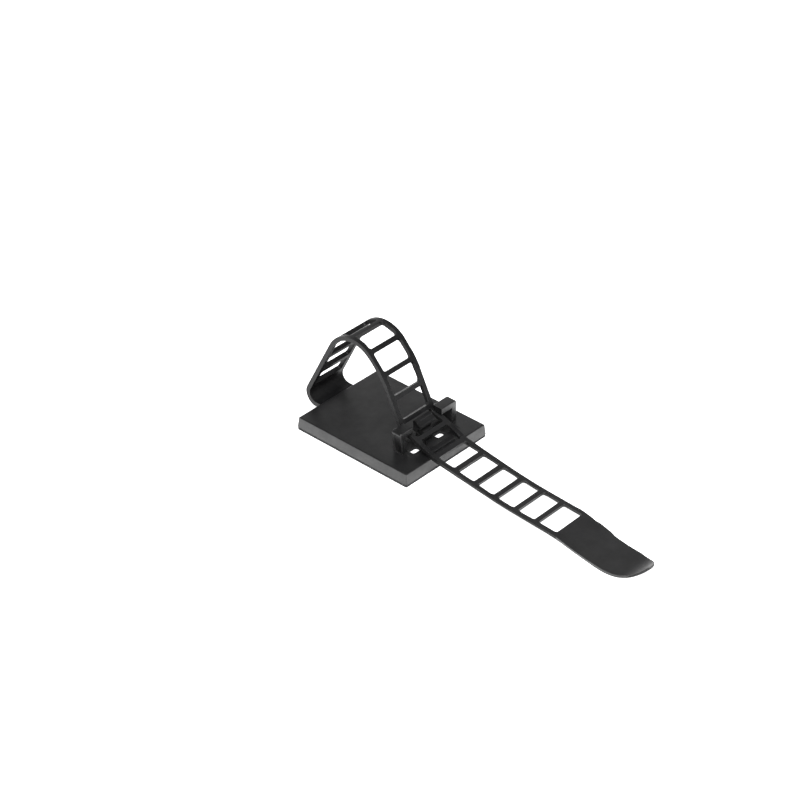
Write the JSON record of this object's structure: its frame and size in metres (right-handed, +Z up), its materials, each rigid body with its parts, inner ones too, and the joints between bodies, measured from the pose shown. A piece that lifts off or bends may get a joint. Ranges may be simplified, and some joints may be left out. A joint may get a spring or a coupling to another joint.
{
  "type": "adjustable cable clip",
  "caption": "Self-adhesive cable clip moulded in one piece: a flat base, a hooked gate and a ladder strap looped over the base and hooked on an upright pawl.",
  "frame": {"origin": "middle of the adhesive pad's underside, on the surface that the clip is stuck to", "axes": "X across the strap, along the bundle that it holds, -Y the way the strap's free end runs out over the front of the base, +Z up from the surface"},
  "size_m": [0.02, 0.0715, 0.0186],
  "materials": {
    "clip_nylon": "satin",
    "pad_foam": "matt foam"
  },
  "bodies": {
    "root": {"clip_moulding": "clip_nylon", "adhesive_pad": "pad_foam"}
  },
  "joints": []
}
